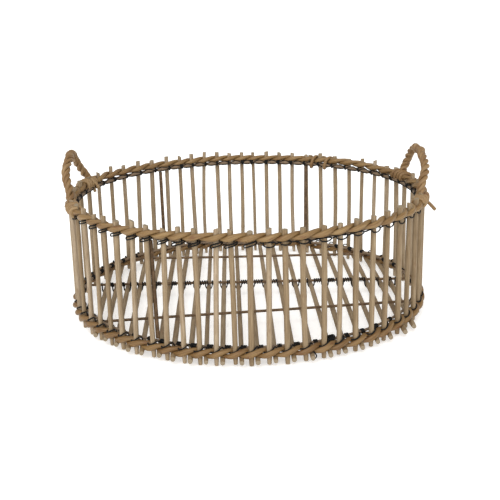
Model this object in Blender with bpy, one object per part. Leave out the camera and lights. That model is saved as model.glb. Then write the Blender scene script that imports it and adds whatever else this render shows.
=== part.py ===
"""Round open basket for logs: upright rods in a wire frame, bound with twined cane.

Sixty peeled rods stand in a ring. Two strands of cane are twined round them near the
top and two more near the foot. A wire frame of two rings, four uprights and three cross
wires stands just inside the rods, and twenty-two long rods make the slatted base. Two
arched handles of wound cane stand on the rim, each held by two lashings.

Metres, +Z up, origin on the floor at the middle of the base. The front is towards -Y
and the handles are at -X and +X. Angles round the basket are measured from the front,
anticlockwise seen from above, so the right-hand handle is at 90 degrees.
"""

import math

import bmesh
import bpy
from mathutils import Vector

# Driving dimensions, in metres
RIM_RADIUS = 0.260          # ring of upright rods, to their centres
ROD_DIAMETER = 0.0072       # peeled rods, upright and in the base
STRAND_DIAMETER = 0.0060    # cane that is twined round the rods
FRAME_WIRE_DIAMETER = 0.0040
UPRIGHT_DIAMETER = 0.0050   # the frame's four uprights are thicker than its rings
BINDING_WIRE_DIAMETER = 0.0018
HANDLE_DIAMETER = 0.0122    # cane core with its winding
LASHING_DIAMETER = 0.0040
GAP = 0.0003                # clearance between pieces that touch
CROSSING_GAP = 0.0004       # between two strands where they cross

UPRIGHT_ROD_COUNT = 60
RODS_PER_PANEL = 5
ROD_SIDES = 8
CROWDING = math.radians(5.0)    # the rods stand closer at the front and back than at the sides
ROD_TURN = math.radians(1.6)    # the first rod stands a little to the right of the front
SMOOTH_BELOW = math.radians(50.0)

FOOT_ROPE_HEIGHT = 0.0150   # centre of the lower strand of the foot rope
RIM_ROPE_HEIGHT = 0.1720
ROD_TOP = 0.1840
TOP_RING_HEIGHT = 0.1629
BOTTOM_RING_HEIGHT = 0.0240
CROSS_WIRE_HEIGHT = 0.0225
TOP_BINDING_HEIGHT = 0.1636
BOTTOM_BINDING_HEIGHT = 0.0262

WEAVE_SWING = 0.0090        # how far a strand stands in or out of the ring at a rod
BASE_ROD_OFFSET = 0.0080    # from an upright rod to the base rod beside it, along X
BASE_ROD_OVERHANG = 0.0155  # past the ring of rods, measured square to it
BASE_ROD_BOW = 0.0070       # rise of a base rod's middle towards the cross wires
BOW_SHARES = ((-0.5, 0.75), (0.0, 1.0), (0.5, 0.75))  # place along the rod, share of the bow
BASE_ROD_NEIGHBOURS = range(-11, 12)  # upright rods that the base rods lie between

UPRIGHT_ANGLES = {"front_left": -29.0, "front_right": 21.5, "back_right": 156.3, "back_left": 215.4}
CROSS_WIRE_ENDS = {"front": (-0.147, -0.090), "middle": (0.014, 0.014), "back": (0.150, 0.150)}
SPLICE_GAPS = (23, 24)      # gaps between rods, counted from the front, that hold a splice wrap
RING_STEPS = 60
END_GAP = 0.0006            # between a cross wire's corner and the bottom ring

HANDLE_RISE = 0.0560        # handle's centreline above the rim rope
HANDLE_BULGE = 0.0800       # half the arch's width at its widest
HANDLE_REACH = 0.2620       # distance of the top of the arch from the basket's middle
HANDLE_FOOT_GAPS = (12, 17)  # gaps between rods that the right-hand handle's feet stand over
HANDLE_FOOT_CLEARANCE = 0.0012
HANDLE_STEPS = 18

# A turn of cane round the rim rope and the top ring, outward and upward from the rope's centre
WRAP_TOP = 0.0082
WRAP_SECTION = ((0.0085, 0.0), (0.0045, WRAP_TOP), (-0.0045, WRAP_TOP), (-0.0080, 0.0),
                (-0.0108, -0.0091), (-0.0085, -0.0137), (-0.0020, -0.0140), (0.0050, -0.0095))

ROD_RADIUS = ROD_DIAMETER / 2
STRAND_RADIUS = STRAND_DIAMETER / 2
WIRE_RADIUS = FRAME_WIRE_DIAMETER / 2
FRAME_RADIUS = RIM_RADIUS - ROD_RADIUS - GAP - WIRE_RADIUS
UPRIGHT_RADIUS = RIM_RADIUS - ROD_RADIUS - GAP - UPRIGHT_DIAMETER / 2
CROSSING_STEP = STRAND_DIAMETER + CROSSING_GAP
BASE_ROD_HEIGHT = FOOT_ROPE_HEIGHT - STRAND_RADIUS - GAP - ROD_RADIUS

ROD_COLOUR = (0.46, 0.33, 0.21)
CANE_COLOUR = (0.50, 0.31, 0.15)
WIRE_COLOUR = (0.12, 0.09, 0.075)


def make_collection(name):
    """Adds a collection to the scene."""
    collection = bpy.data.collections.new(name)
    bpy.context.scene.collection.children.link(collection)
    return collection


def make_material(name, colour, roughness, metallic=0.0):
    """A Principled material with one colour."""
    material = bpy.data.materials.new(name)
    material.use_nodes = True
    shader = material.node_tree.nodes["Principled BSDF"]
    shader.inputs["Base Color"].default_value = (*colour, 1.0)
    shader.inputs["Roughness"].default_value = roughness
    shader.inputs["Metallic"].default_value = metallic
    return material


def rod_material(name):
    """Peeled rod."""
    return make_material(name + "_material", ROD_COLOUR, 0.65)


def cane_material(name):
    """Soaked and dried cane."""
    return make_material(name + "_material", CANE_COLOUR, 0.55)


def wire_material(name):
    """Painted steel wire."""
    return make_material(name + "_material", WIRE_COLOUR, 0.5, 0.6)


def ring_point(radius, angle, height):
    """The point at an angle round the basket, with 0 at the front and 90 degrees at the right."""
    return Vector((radius * math.sin(angle), -radius * math.cos(angle), height))


def rod_angle(place):
    """Angle of an upright rod. Places count from the front; halves are the gaps between."""
    even = 2 * math.pi * place / UPRIGHT_ROD_COUNT
    return even + ROD_TURN - CROWDING * math.sin(2 * even)


def tube(name, points, radius, material, collection, closed=False, resolution=1):
    """A round wire or rod along a line of points."""
    curve = bpy.data.curves.new(name, "CURVE")
    curve.dimensions = "3D"
    curve.bevel_depth = radius
    curve.bevel_resolution = resolution
    curve.use_fill_caps = True
    spline = curve.splines.new("POLY")
    spline.points.add(len(points) - 1)
    for spline_point, point in zip(spline.points, points):
        spline_point.co = (*point, 1.0)
    spline.use_cyclic_u = closed
    obj = bpy.data.objects.new(name, curve)
    collection.objects.link(obj)
    if material is not None:
        curve.materials.append(material)
    return obj


def make_mesh_of(curve_object):
    """Replaces a curve object with a closed mesh object of the same shape."""
    depsgraph = bpy.context.evaluated_depsgraph_get()
    mesh = bpy.data.meshes.new_from_object(curve_object.evaluated_get(depsgraph))
    welded = bmesh.new()
    welded.from_mesh(mesh)
    bmesh.ops.remove_doubles(welded, verts=welded.verts, dist=0.00001)
    welded.to_mesh(mesh)
    welded.free()
    name = curve_object.name
    collection = curve_object.users_collection[0]
    place = curve_object.matrix_world.copy()
    bpy.data.objects.remove(curve_object)
    obj = bpy.data.objects.new(name, mesh)
    obj.matrix_world = place
    collection.objects.link(obj)
    return obj


def wall_panel(number, collection, guides):
    """Five neighbouring upright rods and the two runs of binding wire that hold them together."""
    name = f"wall_rods_{number:02d}"
    first = (number - 1) * RODS_PER_PANEL
    places = range(first, first + RODS_PER_PANEL)
    form = bmesh.new()
    for place in places:
        rod = bmesh.ops.create_cone(form, cap_ends=True, segments=ROD_SIDES, radius1=ROD_RADIUS,
                                    radius2=ROD_RADIUS, depth=ROD_TOP)
        centre = ring_point(RIM_RADIUS, rod_angle(place), ROD_TOP / 2)
        bmesh.ops.translate(form, verts=rod["verts"], vec=centre)
    mesh = bpy.data.meshes.new(name)
    form.to_mesh(mesh)
    form.free()
    mesh.shade_smooth()
    mesh.set_sharp_from_angle(angle=SMOOTH_BELOW)
    mesh.materials.append(rod_material(name))
    panel = bpy.data.objects.new(name, mesh)
    collection.objects.link(panel)
    for label, height in (("top", TOP_BINDING_HEIGHT), ("bottom", BOTTOM_BINDING_HEIGHT)):
        points = [ring_point(RIM_RADIUS, rod_angle(place), height) for place in places]
        wire = tube(f"{name}_{label}_binding", points, BINDING_WIRE_DIAMETER / 2, None, guides,
                    resolution=0)
        wire = make_mesh_of(wire)
        wire.hide_render = True
        wire.display_type = "WIRE"
        union = panel.modifiers.new(label + " binding", "BOOLEAN")
        union.operation = "UNION"
        union.object = wire


def twined_strand(name, height, first_side, lower_step, upper_step, collection):
    """One strand of a twined pair: outside one rod, across, inside the next, and so on round.

    Where the pair crosses in a gap, a strand on its way out goes under and a strand on its
    way in goes over.
    """
    points = []
    side = first_side
    for place in range(UPRIGHT_ROD_COUNT):
        points.append(ring_point(RIM_RADIUS + side * WEAVE_SWING, rod_angle(place), height))
        step = upper_step if side > 0 else -lower_step
        points.append(ring_point(RIM_RADIUS, rod_angle(place + 0.5), height + step))
        side = -side
    tube(name, points, STRAND_RADIUS, cane_material(name), collection, closed=True)


def beside_rods(places):
    """X beside each upright rod of a run that goes left to right, or half way to the next one."""
    rods = [RIM_RADIUS * math.sin(rod_angle(place)) for place in places]
    return [x + min(BASE_ROD_OFFSET, (following - x) / 2) for x, following in zip(rods, rods[1:])]


def base_rod(number, front_x, back_x, collection):
    """One rod of the slatted base, front to back under the ring, bowed up in the middle."""
    name = f"base_rod_{number:02d}"
    inside = FRAME_RADIUS - WEAVE_SWING
    front_ring, back_ring = [math.sqrt(RIM_RADIUS ** 2 - x ** 2) for x in (front_x, back_x)]
    front_flat, back_flat = [math.sqrt(inside ** 2 - x ** 2) for x in (front_x, back_x)]
    front_end = front_ring + BASE_ROD_OVERHANG * RIM_RADIUS / front_ring
    back_end = back_ring + BASE_ROD_OVERHANG * RIM_RADIUS / back_ring
    profile = [(-front_end, 0.0), (-front_flat, 0.0)]
    for part, share in BOW_SHARES:
        y = part * (front_flat if part < 0 else back_flat)
        profile.append((y, BASE_ROD_BOW * share * front_flat / RIM_RADIUS))
    profile += [(back_flat, 0.0), (back_end, 0.0)]
    slant = (back_x - front_x) / (front_ring + back_ring)
    points = [(front_x + slant * (y + front_ring), y, BASE_ROD_HEIGHT + rise) for y, rise in profile]
    tube(name, points, ROD_RADIUS, rod_material(name), collection, resolution=2)


def frame_ring(name, height, collection):
    """A ring of frame wire inside the rods."""
    turns = [2 * math.pi * step / RING_STEPS for step in range(RING_STEPS)]
    points = [ring_point(FRAME_RADIUS, turn, height) for turn in turns]
    tube(name, points, WIRE_RADIUS, wire_material(name), collection, closed=True)


def frame_upright(label, degrees, collection):
    """An upright wire of the frame, from the bottom ring to the top ring."""
    name = f"frame_upright_{label}"
    angle = math.radians(degrees)
    clear = WIRE_RADIUS + GAP
    ends = (BOTTOM_RING_HEIGHT + clear, TOP_RING_HEIGHT - clear)
    points = [ring_point(UPRIGHT_RADIUS, angle, height) for height in ends]
    tube(name, points, UPRIGHT_DIAMETER / 2, wire_material(name), collection, resolution=2)


def cross_wire(label, left_y, right_y, collection):
    """A wire across the base, ending against the inside of the bottom ring."""
    name = f"frame_cross_wire_{label}"
    inside = FRAME_RADIUS - WIRE_RADIUS - END_GAP
    points = []
    for side, y in ((-1, left_y), (1, right_y)):
        x = math.sqrt(inside ** 2 - (abs(y) + WIRE_RADIUS) ** 2)
        points.append((side * x, y, CROSS_WIRE_HEIGHT))
    tube(name, points, WIRE_RADIUS, wire_material(name), collection, resolution=2)


def cane_wrap(name, gap_place, collection):
    """A turn of cane round the rim rope and the top ring, in a gap between two rods."""
    angle = rod_angle(gap_place + 0.5)
    points = [ring_point(RIM_RADIUS + out, angle, RIM_ROPE_HEIGHT + up) for out, up in WRAP_SECTION]
    tube(name, points, LASHING_DIAMETER / 2, cane_material(name), collection, closed=True)


def handle_gaps(side):
    """The gaps between rods under a handle's front and back feet."""
    front, back = HANDLE_FOOT_GAPS
    return (front, back) if side > 0 else (-front - 1, -back - 1)


def handle(side_name, side, collection):
    """An arch of wound cane whose feet stand over two lashings on the rim rope."""
    name = f"handle_{side_name}"
    foot_height = RIM_ROPE_HEIGHT + WRAP_TOP + LASHING_DIAMETER / 2 + HANDLE_FOOT_CLEARANCE
    front, back = [ring_point(RIM_RADIUS, rod_angle(gap + 0.5), foot_height)
                   for gap in handle_gaps(side)]
    middle = (front.y + back.y) / 2
    arch_rise = RIM_ROPE_HEIGHT + HANDLE_RISE - foot_height
    start = math.acos((back.y - front.y) / 2 / HANDLE_BULGE)
    points = []
    for step in range(HANDLE_STEPS + 1):
        along = step / HANDLE_STEPS
        turn = start + (math.pi - 2 * start) * along
        lift = (math.sin(turn) - math.sin(start)) / (1 - math.sin(start))
        foot_x = front.x + (back.x - front.x) * along
        x = foot_x + (side * HANDLE_REACH - foot_x) * math.sin(math.pi * along)
        points.append((x, middle - HANDLE_BULGE * math.cos(turn), foot_height + arch_rise * lift))
    tube(name, points, HANDLE_DIAMETER / 2, cane_material(name), collection, resolution=2)


def handle_lashings(side_name, side, collection):
    """The two cane wraps that hold a handle's feet to the rim rope."""
    for label, gap_place in zip(("front", "back"), handle_gaps(side)):
        cane_wrap(f"handle_lashing_{side_name}_{label}", gap_place, collection)


def build():
    """Clears the file and makes every piece."""
    for obj in list(bpy.data.objects):
        bpy.data.objects.remove(obj)
    basket = make_collection("log_basket")
    guides = make_collection("guides")

    for number in range(1, UPRIGHT_ROD_COUNT // RODS_PER_PANEL + 1):
        wall_panel(number, basket, guides)
    front_xs = beside_rods(BASE_ROD_NEIGHBOURS)
    back_xs = beside_rods([UPRIGHT_ROD_COUNT // 2 - place for place in BASE_ROD_NEIGHBOURS])
    for number, (front_x, back_x) in enumerate(zip(front_xs, back_xs), start=1):
        base_rod(number, front_x, back_x, basket)

    even_step = CROSSING_STEP / 2
    twined_strand("rim_strand_a", RIM_ROPE_HEIGHT, 1, even_step, even_step, basket)
    twined_strand("rim_strand_b", RIM_ROPE_HEIGHT, -1, even_step, even_step, basket)
    twined_strand("foot_strand_a", FOOT_ROPE_HEIGHT, 1, 0.0, CROSSING_STEP, basket)
    twined_strand("foot_strand_b", FOOT_ROPE_HEIGHT, -1, 0.0, CROSSING_STEP, basket)

    frame_ring("frame_top_ring", TOP_RING_HEIGHT, basket)
    frame_ring("frame_bottom_ring", BOTTOM_RING_HEIGHT, basket)
    for label, degrees in UPRIGHT_ANGLES.items():
        frame_upright(label, degrees, basket)
    for label, (left_y, right_y) in CROSS_WIRE_ENDS.items():
        cross_wire(label, left_y, right_y, basket)

    for number, gap_place in enumerate(SPLICE_GAPS, start=1):
        cane_wrap(f"rim_splice_wrap_{number}", gap_place, basket)
    for side_name, side in (("left", -1), ("right", 1)):
        handle(side_name, side, basket)
        handle_lashings(side_name, side, basket)


build()
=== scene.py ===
"""Round open basket for logs, dressed for display.

Sixty peeled rods stand in a ring, twined with cane near the top and near the foot. Black
binding wire ties them to two rings of painted wire, long rods make the slatted base, and
two arched handles of twisted cane are wound onto the rim. Metres, +Z up, front towards -Y.
"""
import logging
import math
import random
from collections.abc import Callable, Sequence
from dataclasses import dataclass, field
from enum import Enum

import bmesh
import bpy
from mathutils import Matrix, Vector


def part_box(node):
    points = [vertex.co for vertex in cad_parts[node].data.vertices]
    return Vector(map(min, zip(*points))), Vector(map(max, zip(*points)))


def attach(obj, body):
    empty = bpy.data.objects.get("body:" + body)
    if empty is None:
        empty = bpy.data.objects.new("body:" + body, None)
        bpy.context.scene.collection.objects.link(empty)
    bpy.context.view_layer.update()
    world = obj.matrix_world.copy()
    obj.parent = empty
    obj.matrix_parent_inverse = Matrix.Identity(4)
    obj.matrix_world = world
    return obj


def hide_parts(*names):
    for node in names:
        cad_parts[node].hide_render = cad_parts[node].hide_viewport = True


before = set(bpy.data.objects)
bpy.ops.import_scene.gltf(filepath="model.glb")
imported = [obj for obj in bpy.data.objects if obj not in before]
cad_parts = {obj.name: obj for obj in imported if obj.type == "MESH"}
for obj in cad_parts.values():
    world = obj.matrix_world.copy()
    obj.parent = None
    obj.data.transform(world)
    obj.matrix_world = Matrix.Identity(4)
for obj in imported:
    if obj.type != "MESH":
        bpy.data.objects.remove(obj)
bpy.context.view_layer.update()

MM = 0.001
ROOT_BODY = "root"
ROD_COUNT = 60
STRAND_SMOOTH_ANGLE = math.radians(50.0)
ROD_SMOOTH_ANGLE = math.radians(40.0)
PLANT_IOR = 1.45
# Rounded, for random directions
FULL_TURN = 6.28

log = logging.getLogger("log_basket")


class Slot(Enum):
    """The record's material slots."""

    PEELED_ROD = "peeled_rod"
    TWINED_CANE = "twined_cane"
    WOUND_CANE = "wound_cane"
    FRAME_WIRE = "frame_wire"


class Side(Enum):
    """Which handle, with its sign along X."""

    LEFT = -1
    RIGHT = 1


class Level(Enum):
    """The two bands where cane is twined round the rods."""

    RIM = "rim"
    FOOT = "foot"


# ---------------------------------------------------------------- small helpers


def box_middle(node: str) -> Vector:
    """Returns the middle of a CAD node's box."""
    low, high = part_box(node)
    return (low + high) / 2


def polar(radius: float, angle: float, height: float) -> Vector:
    """Returns the point at an angle round the basket, from the front towards the right."""
    return Vector((radius * math.sin(angle), -radius * math.cos(angle), height))


def blend_between(low: float, high: float, share: float) -> float:
    """Returns the value at a share of the way from low to high."""
    return low + (high - low) * share


def smooth_line(points: Sequence[Vector], step: float) -> list[Vector]:
    """Rounds a line of given points into a smooth one.

    Args:
        points: Points that the line passes through.
        step: Rough distance between the new points, in metres.

    Returns:
        The smooth line's points.
    """
    smooth: list[Vector] = []
    last = len(points) - 1
    for index in range(last):
        before, start = points[max(index - 1, 0)], points[index]
        end, after = points[index + 1], points[min(index + 2, last)]
        pieces = max(1, round((end - start).length / step))
        for piece in range(pieces):
            t = piece / pieces
            smooth.append(0.5 * (2 * start + (end - before) * t
                                 + (2 * before - 5 * start + 4 * end - after) * t ** 2
                                 + (3 * start - before - 3 * end + after) * t ** 3))
    smooth.append(points[-1].copy())
    return smooth


def deselect_all() -> None:
    """Leaves object mode with nothing selected."""
    if bpy.context.object is not None and bpy.context.object.mode != "OBJECT":
        bpy.ops.object.mode_set(mode="OBJECT")
    bpy.ops.object.select_all(action="DESELECT")


def select_only(obj: bpy.types.Object) -> None:
    """Makes one object the selected and active one.

    Args:
        obj: The object.
    """
    deselect_all()
    obj.select_set(True)
    bpy.context.view_layer.objects.active = obj


def select_parts(obj: bpy.types.Object, kind: str,
                 chosen: Callable[[bmesh.types.BMEdge | bmesh.types.BMFace], bool]) -> None:
    """Selects, in edit mode, the edges or faces that a test picks.

    Args:
        obj: The object in edit mode.
        kind: "edges" or "faces".
        chosen: Says of one edge or face whether it is picked.
    """
    form = bmesh.from_edit_mesh(obj.data)
    for part in (*form.verts, *form.edges, *form.faces):
        part.select = False
    for part in getattr(form, kind):
        if chosen(part):
            part.select_set(True)
    bmesh.update_edit_mesh(obj.data)


def any_place(drawn: random.Random) -> Vector:
    """Returns a random place within a metre, where one rod's grain pattern starts."""
    return Vector((drawn.uniform(-1, 1), drawn.uniform(-1, 1), drawn.uniform(-1, 1)))


class Grain:
    """The per-point values that every rod, cane and wire carries for its material.

    "grain" is a place in the straight rod before it was bent, in metres, "tint" is the
    rod's shade from 0 to 1, a random tone that some pieces set paler or darker as
    painted light and shade, and "cut" is 1 on a sawn end.
    """

    PLACE = "grain"
    TINT = "tint"
    CUT = "cut"

    @staticmethod
    def write(mesh: bpy.types.Mesh, places: Sequence[Vector], tints: Sequence[float],
              cuts: Sequence[float]) -> None:
        """Stores the three values on a mesh's points.

        Args:
            mesh: The mesh.
            places: Each point's place in the straight rod.
            tints: Each point's shade.
            cuts: 1 for each point of a sawn end, 0 for the others.
        """
        layer = mesh.attributes.new(Grain.PLACE, "FLOAT_VECTOR", "POINT")
        layer.data.foreach_set("vector", [value for place in places for value in place])
        for name, values in ((Grain.TINT, tints), (Grain.CUT, cuts)):
            layer = mesh.attributes.new(name, "FLOAT", "POINT")
            layer.data.foreach_set("value", list(values))


@dataclass
class Strand:
    """One length of cane or wire to be swept along a line.

    Attributes:
        line: Points along its middle.
        radius: Half its thickness.
        closed: Whether it joins up with its start.
        tint: Its shade, 0 to 1: a random tone, set darker on the foot rope as painted shade.
        swell: Thickness factor for each point, or nothing for an even strand.
        flats: Height factor for each point, or nothing for a round strand.
    """

    line: list[Vector]
    radius: float
    closed: bool = False
    tint: float = 0.5
    swell: list[float] | None = None
    flats: list[float] | None = None


def sweep(name: str, strands: Sequence[Strand], resolution: int) -> bpy.types.Object:
    """Makes one closed mesh object from round strands.

    Args:
        name: The new piece's name.
        strands: The strands that it holds.
        resolution: Bevel resolution of the curve, 1 gives 6 sides and 3 gives 10.

    Returns:
        The mesh object, with its grain values.
    """
    curve = bpy.data.curves.new(name, "CURVE")
    curve.dimensions = "3D"
    curve.bevel_depth = 1.0
    curve.bevel_resolution = resolution
    curve.twist_mode = "MINIMUM"
    for strand in strands:
        spline = curve.splines.new("POLY")
        spline.points.add(len(strand.line) - 1)
        for index, (knot, point) in enumerate(zip(spline.points, strand.line)):
            knot.co = (*point, 1.0)
            knot.radius = strand.radius * (strand.swell[index] if strand.swell else 1.0)
        spline.use_cyclic_u = strand.closed
    obj = bpy.data.objects.new(name, curve)
    bpy.context.scene.collection.objects.link(obj)
    select_only(obj)
    bpy.ops.object.convert(target="MESH")
    obj = bpy.context.object
    if not all(strand.closed for strand in strands):
        bpy.ops.object.mode_set(mode="EDIT")
        bpy.ops.mesh.select_all(action="SELECT")
        bpy.ops.mesh.fill_holes(sides=0)
        bpy.ops.mesh.normals_make_consistent(inside=False)
        bpy.ops.object.mode_set(mode="OBJECT")
    sides = 2 * resolution + 4
    places: list[Vector] = []
    tints: list[float] = []
    cuts: list[float] = []
    for strand in strands:
        if strand.flats:
            press(strand, obj.data.vertices[len(places):], sides)
        offset = any_place(random.Random(f"{name}{len(places)}"))
        along = 0.0
        for index, point in enumerate(strand.line):
            if index:
                along += (point - strand.line[index - 1]).length
            at_end = not strand.closed and index in (0, len(strand.line) - 1)
            for side in range(sides):
                turn = 2 * math.pi * side / sides
                places.append(offset + Vector((strand.radius * math.cos(turn),
                                               strand.radius * math.sin(turn), along)))
                tints.append(strand.tint)
                cuts.append(1.0 if at_end else 0.0)
    Grain.write(obj.data, places, tints, cuts)
    select_only(obj)
    bpy.ops.object.shade_smooth_by_angle(angle=STRAND_SMOOTH_ANGLE)
    return obj


def press(strand: Strand, vertices: Sequence[bpy.types.MeshVertex], sides: int) -> None:
    """Makes a strand's section lower and wider, or higher and narrower, along its line.

    Args:
        strand: The strand, with its height factors.
        vertices: The mesh's points from the strand's first one on.
        sides: Number of points round the strand.
    """
    for index, (point, flat) in enumerate(zip(strand.line, strand.flats)):
        wide = 1 / math.sqrt(flat)
        for vertex in vertices[index * sides:(index + 1) * sides]:
            away = vertex.co - point
            vertex.co = point + Vector((away.x * wide, away.y * wide, away.z * flat))


def dress(obj: bpy.types.Object, slot: Slot, material: bpy.types.Material,
          *nodes: str) -> bpy.types.Object:
    """Gives a finished piece its material and body, and hides the CAD nodes that it stands for.

    Args:
        obj: The piece.
        slot: The record's material slot; not used.
        material: Its finish.
        *nodes: CAD nodes that it replaces.

    Returns:
        The same piece.
    """
    obj.data.materials.clear()
    obj.data.materials.append(material)
    if nodes:
        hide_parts(*nodes)
    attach(obj, ROOT_BODY)
    log.info("%s: %d faces", obj.name, len(obj.data.polygons))
    return obj


# ---------------------------------------------------------------- finishes


def paint(code: str) -> tuple[float, float, float, float]:
    """Turns a colour from sRGB into linear red, green, blue and alpha.

    Args:
        code: The sRGB colour as six hex digits, such as "A8937A".

    Returns:
        The linear colour.
    """
    shares = [int(code[index:index + 2], 16) / 255 for index in (0, 2, 4)]
    linear = [s / 12.92 if s <= 0.04045 else ((s + 0.055) / 1.055) ** 2.4 for s in shares]
    return (linear[0], linear[1], linear[2], 1.0)


def add_node(tree: bpy.types.NodeTree, kind: str, settings: dict | None = None,
             inputs: dict | None = None,
             stops: Sequence[tuple[float, str]] = ()) -> bpy.types.Node:
    """Adds a shader node with its settings and links.

    Args:
        tree: The node tree.
        kind: The node's type, without "ShaderNode".
        settings: Properties to set.
        inputs: Input name or number, to a value, a colour or another node's output.
        stops: Places and hex colours, for a node with a colour ramp.

    Returns:
        The node.
    """
    node = tree.nodes.new("ShaderNode" + kind)
    for key, value in (settings or {}).items():
        setattr(node, key, value)
    for key, value in (inputs or {}).items():
        if isinstance(value, bpy.types.NodeSocket):
            tree.links.new(value, node.inputs[key])
        else:
            node.inputs[key].default_value = value
    for number, (place, code) in enumerate(stops):
        elements = node.color_ramp.elements
        element = elements[number] if number < len(elements) else elements.new(place)
        element.position = place
        element.color = paint(code)
    return node


class MixSocket:
    """Numbers of a colour Mix node's sockets, which share their names with other sockets."""

    SHARE = 0
    FIRST = 6
    SECOND = 7
    RESULT = 2


def new_material(name: str) -> tuple[bpy.types.Material, bpy.types.NodeTree, bpy.types.Node]:
    """Adds a material.

    Args:
        name: Its name.

    Returns:
        The material, its node tree and its Principled shader.
    """
    material = bpy.data.materials.new(name)
    material.use_nodes = True
    tree = material.node_tree
    return material, tree, tree.nodes["Principled BSDF"]


@dataclass(frozen=True)
class StemFinish:
    """Peeled or soaked plant stem: fibres run along it, with stains, knots and a sawn end.

    Attributes:
        name: The material's name.
        shades: Ramp stops for the stem's own shade.
        fibre: Colour of the dark lines between fibres.
        stain: Colour of the brown blotches.
        stain_share: How strong the blotches are.
        sawn: Colour of a sawn end.
        pith: Colour of the pores in a sawn end.
        fibre_width: Width of a bundle of fibres, in metres.
        roughness: Roughness of the skin.
        fibre_height: Depth of the lines between fibres, in metres.
        fibre_stretch: How many times longer than wide a bundle of fibres is.
        patch: Width and length of the weathered patches, in metres.
        scar: Width and length of the blotches that leaf scars leave, in metres.
        pore: Width of a pore in a sawn end, in metres, drawn coarser than real to show.
    """

    name: str
    shades: tuple[tuple[float, str], ...]
    fibre: str
    stain: str
    stain_share: float
    sawn: str
    pith: str
    fibre_width: float
    roughness: float
    fibre_height: float
    fibre_stretch: float = 30.0
    patch: tuple[float, float] = (12.0 * MM, 60.0 * MM)
    scar: tuple[float, float] = (4.5 * MM, 14.0 * MM)
    pore: float = 0.55 * MM

    def build(self) -> bpy.types.Material:
        """Makes the material.

        Returns:
            The material.
        """
        material, tree, shader = new_material(self.name)
        grain = add_node(tree, "Attribute", {"attribute_name": Grain.PLACE}).outputs["Vector"]
        tint = add_node(tree, "Attribute", {"attribute_name": Grain.TINT}).outputs["Fac"]
        cut = add_node(tree, "Attribute", {"attribute_name": Grain.CUT}).outputs["Fac"]
        noises = []
        for wide, long, detail, rough in (
                (self.fibre_width, self.fibre_width * self.fibre_stretch, 3.0, 0.6),
                (*self.patch, 2.0, 0.5), (*self.scar, 1.0, 0.5)):
            scaled = add_node(tree, "Mapping", inputs={
                "Vector": grain, "Scale": (1 / wide, 1 / wide, 1 / long)})
            noise = add_node(tree, "TexNoise", inputs={
                "Vector": scaled.outputs[0], "Scale": 1.0, "Detail": detail, "Roughness": rough})
            noises.append(noise.outputs["Fac"])
        fibres, patches, scars = noises
        # The stem's shade, a random tone that on some pieces carries painted light and shade, and
        # its weathered patches together pick a place on the ramp.
        own = add_node(tree, "MapRange", inputs={"Value": tint, "To Min": -0.05, "To Max": 0.5})
        shade = add_node(tree, "Math", {"operation": "MULTIPLY_ADD"},
                         {0: patches, 1: 0.55, 2: own.outputs[0]})
        skin = add_node(tree, "ValToRGB", inputs={"Fac": shade.outputs[0]}, stops=self.shades)
        between = add_node(tree, "MapRange", inputs={
            "Value": fibres, "From Min": 0.38, "From Max": 0.62, "To Min": 0.55, "To Max": 0.0})
        lined = add_node(tree, "Mix", {"data_type": "RGBA", "blend_type": "MULTIPLY"}, {
            MixSocket.SHARE: between.outputs[0], MixSocket.FIRST: skin.outputs["Color"],
            MixSocket.SECOND: paint(self.fibre)})
        blotch = add_node(tree, "MapRange", inputs={
            "Value": scars, "From Min": 0.60, "From Max": 0.74, "To Min": 0.0,
            "To Max": self.stain_share})
        stained = add_node(tree, "Mix", {"data_type": "RGBA"}, {
            MixSocket.SHARE: blotch.outputs[0],
            MixSocket.FIRST: lined.outputs[MixSocket.RESULT],
            MixSocket.SECOND: paint(self.stain)})
        pores = add_node(tree, "TexVoronoi", inputs={"Vector": grain, "Scale": 1 / self.pore})
        end = add_node(tree, "ValToRGB", inputs={"Fac": pores.outputs[0]},
                       stops=((0.1, self.pith), (0.5, self.sawn)))
        colour = add_node(tree, "Mix", {"data_type": "RGBA"}, {
            MixSocket.SHARE: cut, MixSocket.FIRST: stained.outputs[MixSocket.RESULT],
            MixSocket.SECOND: end.outputs["Color"]})
        tree.links.new(colour.outputs[MixSocket.RESULT], shader.inputs["Base Color"])
        sheen = add_node(tree, "MapRange", inputs={
            "Value": fibres, "From Min": 0.3, "From Max": 0.7,
            "To Min": self.roughness + 0.12, "To Max": self.roughness - 0.08})
        tree.links.new(sheen.outputs[0], shader.inputs["Roughness"])
        shader.inputs["IOR"].default_value = PLANT_IOR
        bump = add_node(tree, "Bump", inputs={
            "Strength": 0.6, "Distance": self.fibre_height, "Height": fibres})
        tree.links.new(bump.outputs[0], shader.inputs["Normal"])
        return material


# Peeled rattan core, dried grey-tan: matt, long fine fibres and few stains.
PEELED_ROD = StemFinish(
    name="peeled_rattan_core", shades=((0.0, "816B50"), (0.3, "907B5D"), (0.55, "9E8A6D"),
                                       (0.8, "B09E86"), (1.0, "B8A996")),
    fibre="A3927A", stain="755535", stain_share=0.4, sawn="8E7F68", pith="5E523F",
    fibre_width=0.9 * MM, roughness=0.62, fibre_height=0.15 * MM)
# Soaked cane twined wet: warmer and more orange than the rods, with brown blotches.
TWINED_CANE = StemFinish(
    name="soaked_rattan_cane", shades=((0.0, "674823"), (0.3, "81633A"), (0.6, "977B50"),
                                       (1.0, "A48A62")),
    fibre="9A7A52", stain="62381A", stain_share=0.6, sawn="8A7452", pith="4E3D28",
    fibre_width=0.8 * MM, roughness=0.5, fibre_height=0.15 * MM)
# Cane twisted into the handles: the same, darkened by handling.
WOUND_CANE = StemFinish(
    name="twisted_rattan_cane", shades=((0.0, "6B4C28"), (0.35, "8A6B43"), (0.65, "A1855D"),
                                        (1.0, "AE9670")),
    fibre="8F7049", stain="5E3516", stain_share=0.6, sawn="8F7A58", pith="4E3D28",
    fibre_width=0.8 * MM, roughness=0.5, fibre_height=0.15 * MM)


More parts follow.
